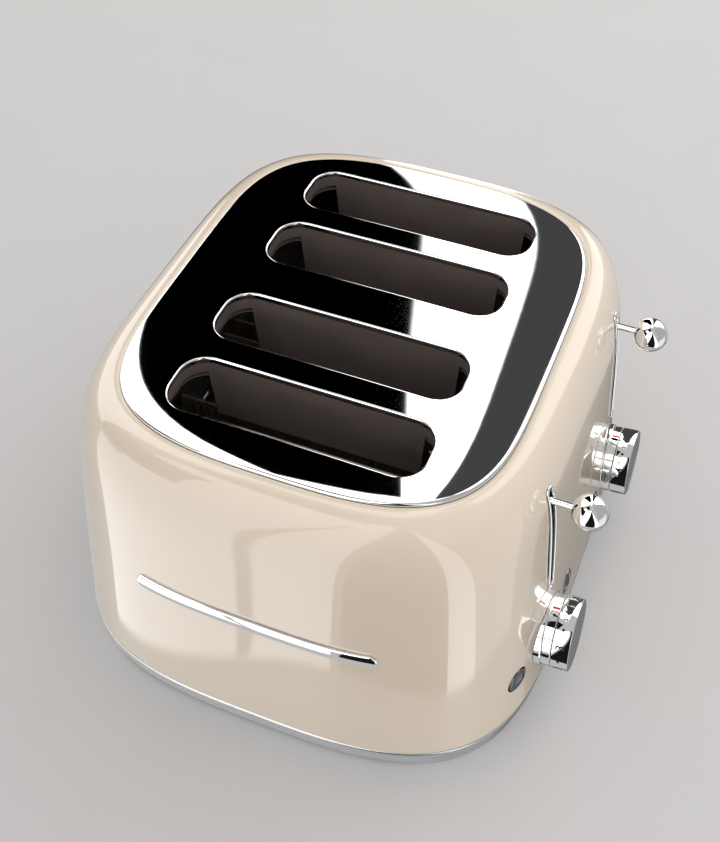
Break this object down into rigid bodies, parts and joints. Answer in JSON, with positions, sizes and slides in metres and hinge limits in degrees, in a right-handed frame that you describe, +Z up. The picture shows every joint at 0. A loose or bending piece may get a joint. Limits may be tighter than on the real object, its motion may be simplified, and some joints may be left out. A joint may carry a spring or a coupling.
{
  "type": "pop up toaster",
  "caption": "Rounded enamelled toaster with long bread slots in a domed chrome top plate, and ball levers, browning dials and buttons on one end.",
  "frame": {"origin": "centre of the whole outline, levers and dials included, at the height of the feet's soles", "axes": "+Z up, +X towards the levers and dials along the bread slots, -Y towards the front with the plain bar"},
  "size_m": [0.3122, 0.338, 0.1959],
  "materials": {
    "cream_enamel": "gloss cream powder enamel on pressed steel",
    "polished_chrome": "mirror-polished chrome plate",
    "dial_chrome": "polished chrome with black printed numbers",
    "satin_chrome": "satin chrome",
    "dark_chrome": "dark satin chrome",
    "heated_steel": "heat-darkened steel sheet",
    "rubber": "matt black",
    "black_plastic": "moulded matt black",
    "circuit_board": "green solder mask on glass-fibre board",
    "mica": "mica sheet wound with resistance ribbon",
    "copper_winding": "enamelled copper winding on a steel core",
    "steel_wire": "drawn steel wire",
    "ground_steel": "ground bright steel",
    "tray_steel": "bright pressed steel sheet",
    "zinc_steel": "zinc-plated steel sheet"
  },
  "bodies": {
    "casing": {"outer_shell": "cream_enamel", "top_plate": "polished_chrome", "slot_liner": "heated_steel", "base_plinth": "satin_chrome", "base_pan": "zinc_steel", "foot_front_left": "rubber", "foot_front_right": "rubber", "foot_rear_left": "rubber", "foot_rear_right": "rubber", "cord_gland": "black_plastic", "end_plate_left": "zinc_steel", "end_plate_right": "zinc_steel", "front_badge": "polished_chrome", "lever_track_front": "polished_chrome", "dial_collar_front": "polished_chrome", "dial_control_front": "black_plastic", "control_board_front": "circuit_board", "heater_front_inner": "mica", "heater_front_middle": "mica", "heater_front_outer": "mica", "guide_rod_front": "ground_steel", "latch_magnet_front": "copper_winding", "return_spring_front": "steel_wire", "lever_track_rear": "polished_chrome", "dial_collar_rear": "polished_chrome", "dial_control_rear": "black_plastic", "control_board_rear": "circuit_board", "heater_rear_inner": "mica", "heater_rear_middle": "mica", "heater_rear_outer": "mica", "guide_rod_rear": "ground_steel", "latch_magnet_rear": "copper_winding", "return_spring_rear": "steel_wire"},
    "lever_front": {"lever_stem_front": "polished_chrome", "lever_ball_front": "polished_chrome", "carriage_front": "zinc_steel", "rack_front_inner": "zinc_steel", "rack_front_outer": "zinc_steel"},
    "guard_front_inner_near": {"guard_front_inner_near": "steel_wire"},
    "guard_front_inner_far": {"guard_front_inner_far": "steel_wire"},
    "guard_front_outer_near": {"guard_front_outer_near": "steel_wire"},
    "guard_front_outer_far": {"guard_front_outer_far": "steel_wire"},
    "dial_front_turn": {"dial_front": "dial_chrome"},
    "stop_button_front_press": {"stop_button_front": "dark_chrome"},
    "defrost_button_front_press": {"defrost_button_front": "dark_chrome"},
    "crumb_tray_front_drawer": {"crumb_tray_front": "tray_steel"},
    "lever_rear": {"lever_stem_rear": "polished_chrome", "lever_ball_rear": "polished_chrome", "carriage_rear": "zinc_steel", "rack_rear_inner": "zinc_steel", "rack_rear_outer": "zinc_steel"},
    "guard_rear_inner_near": {"guard_rear_inner_near": "steel_wire"},
    "guard_rear_inner_far": {"guard_rear_inner_far": "steel_wire"},
    "guard_rear_outer_near": {"guard_rear_outer_near": "steel_wire"},
    "guard_rear_outer_far": {"guard_rear_outer_far": "steel_wire"},
    "dial_rear_turn": {"dial_rear": "dial_chrome"},
    "stop_button_rear_press": {"stop_button_rear": "dark_chrome"},
    "defrost_button_rear_press": {"defrost_button_rear": "dark_chrome"},
    "crumb_tray_rear_drawer": {"crumb_tray_rear": "tray_steel"}
  },
  "joints": [
    {"name": "lever_front_slide", "type": "slide", "parent": "casing", "child": "lever_front", "axis": [0, 0, -1], "range_m": [-0.005, 0.07], "stiffness_N_per_m": 150, "springref_m": -0.009, "deforming": ["return_spring_front"]},
    {"name": "guard_front_inner_near_hinge", "type": "hinge", "parent": "casing", "child": "guard_front_inner_near", "pos_m": [0, -0.01795, 0.036], "axis": [1, 0, 0], "range_deg": [-0.5, 5.1]},
    {"name": "guard_front_inner_far_hinge", "type": "hinge", "parent": "casing", "child": "guard_front_inner_far", "pos_m": [0, -0.05045, 0.036], "axis": [-1, 0, 0], "range_deg": [-0.5, 5.1]},
    {"name": "guard_front_outer_near_hinge", "type": "hinge", "parent": "casing", "child": "guard_front_outer_near", "pos_m": [0, -0.07295, 0.036], "axis": [1, 0, 0], "range_deg": [-0.5, 5.1]},
    {"name": "guard_front_outer_far_hinge", "type": "hinge", "parent": "casing", "child": "guard_front_outer_far", "pos_m": [0, -0.10545, 0.036], "axis": [-1, 0, 0], "range_deg": [-0.5, 5.1]},
    {"name": "dial_front_hinge", "type": "hinge", "parent": "casing", "child": "dial_front_turn", "pos_m": [0.13692, -0.07, 0.05], "axis": [0.996, 0, 0.0896], "range_deg": [-171, 114]},
    {"name": "stop_button_front_slide", "type": "slide", "parent": "casing", "child": "stop_button_front_press", "axis": [-0.996, 0, -0.0896], "range_m": [0, 0.0016], "stiffness_N_per_m": 400, "springref_m": -0.001},
    {"name": "defrost_button_front_slide", "type": "slide", "parent": "casing", "child": "defrost_button_front_press", "axis": [-0.996, 0, -0.0896], "range_m": [0, 0.0016], "stiffness_N_per_m": 400, "springref_m": -0.001},
    {"name": "crumb_tray_front_slide", "type": "slide", "parent": "casing", "child": "crumb_tray_front_drawer", "axis": [-1, 0, 0], "range_m": [0, 0.24]},
    {"name": "lever_rear_slide", "type": "slide", "parent": "casing", "child": "lever_rear", "axis": [0, 0, -1], "range_m": [-0.005, 0.07], "stiffness_N_per_m": 150, "springref_m": -0.009, "deforming": ["return_spring_rear"]},
    {"name": "guard_rear_inner_near_hinge", "type": "hinge", "parent": "casing", "child": "guard_rear_inner_near", "pos_m": [0, 0.01795, 0.036], "axis": [-1, 0, 0], "range_deg": [-0.5, 5.1]},
    {"name": "guard_rear_inner_far_hinge", "type": "hinge", "parent": "casing", "child": "guard_rear_inner_far", "pos_m": [0, 0.05045, 0.036], "axis": [1, 0, 0], "range_deg": [-0.5, 5.1]},
    {"name": "guard_rear_outer_near_hinge", "type": "hinge", "parent": "casing", "child": "guard_rear_outer_near", "pos_m": [0, 0.07295, 0.036], "axis": [-1, 0, 0], "range_deg": [-0.5, 5.1]},
    {"name": "guard_rear_outer_far_hinge", "type": "hinge", "parent": "casing", "child": "guard_rear_outer_far", "pos_m": [0, 0.10545, 0.036], "axis": [1, 0, 0], "range_deg": [-0.5, 5.1]},
    {"name": "dial_rear_hinge", "type": "hinge", "parent": "casing", "child": "dial_rear_turn", "pos_m": [0.13692, 0.07, 0.05], "axis": [0.996, 0, 0.0896], "range_deg": [-228, 57]},
    {"name": "stop_button_rear_slide", "type": "slide", "parent": "casing", "child": "stop_button_rear_press", "axis": [-0.996, 0, -0.0896], "range_m": [0, 0.0016], "stiffness_N_per_m": 400, "springref_m": -0.001},
    {"name": "defrost_button_rear_slide", "type": "slide", "parent": "casing", "child": "defrost_button_rear_press", "axis": [-0.996, 0, -0.0896], "range_m": [0, 0.0016], "stiffness_N_per_m": 400, "springref_m": -0.001},
    {"name": "crumb_tray_rear_slide", "type": "slide", "parent": "casing", "child": "crumb_tray_rear_drawer", "axis": [-1, 0, 0], "range_m": [0, 0.24]}
  ],
  "couplings": [
    {"joint": "guard_front_inner_near_hinge", "follows": "lever_front_slide", "rad_per_m": 1.2467},
    {"joint": "guard_front_inner_far_hinge", "follows": "lever_front_slide", "rad_per_m": 1.2467},
    {"joint": "guard_front_outer_near_hinge", "follows": "lever_front_slide", "rad_per_m": 1.2467},
    {"joint": "guard_front_outer_far_hinge", "follows": "lever_front_slide", "rad_per_m": 1.2467},
    {"joint": "guard_rear_inner_near_hinge", "follows": "lever_rear_slide", "rad_per_m": 1.2467},
    {"joint": "guard_rear_inner_far_hinge", "follows": "lever_rear_slide", "rad_per_m": 1.2467},
    {"joint": "guard_rear_outer_near_hinge", "follows": "lever_rear_slide", "rad_per_m": 1.2467},
    {"joint": "guard_rear_outer_far_hinge", "follows": "lever_rear_slide", "rad_per_m": 1.2467}
  ]
}
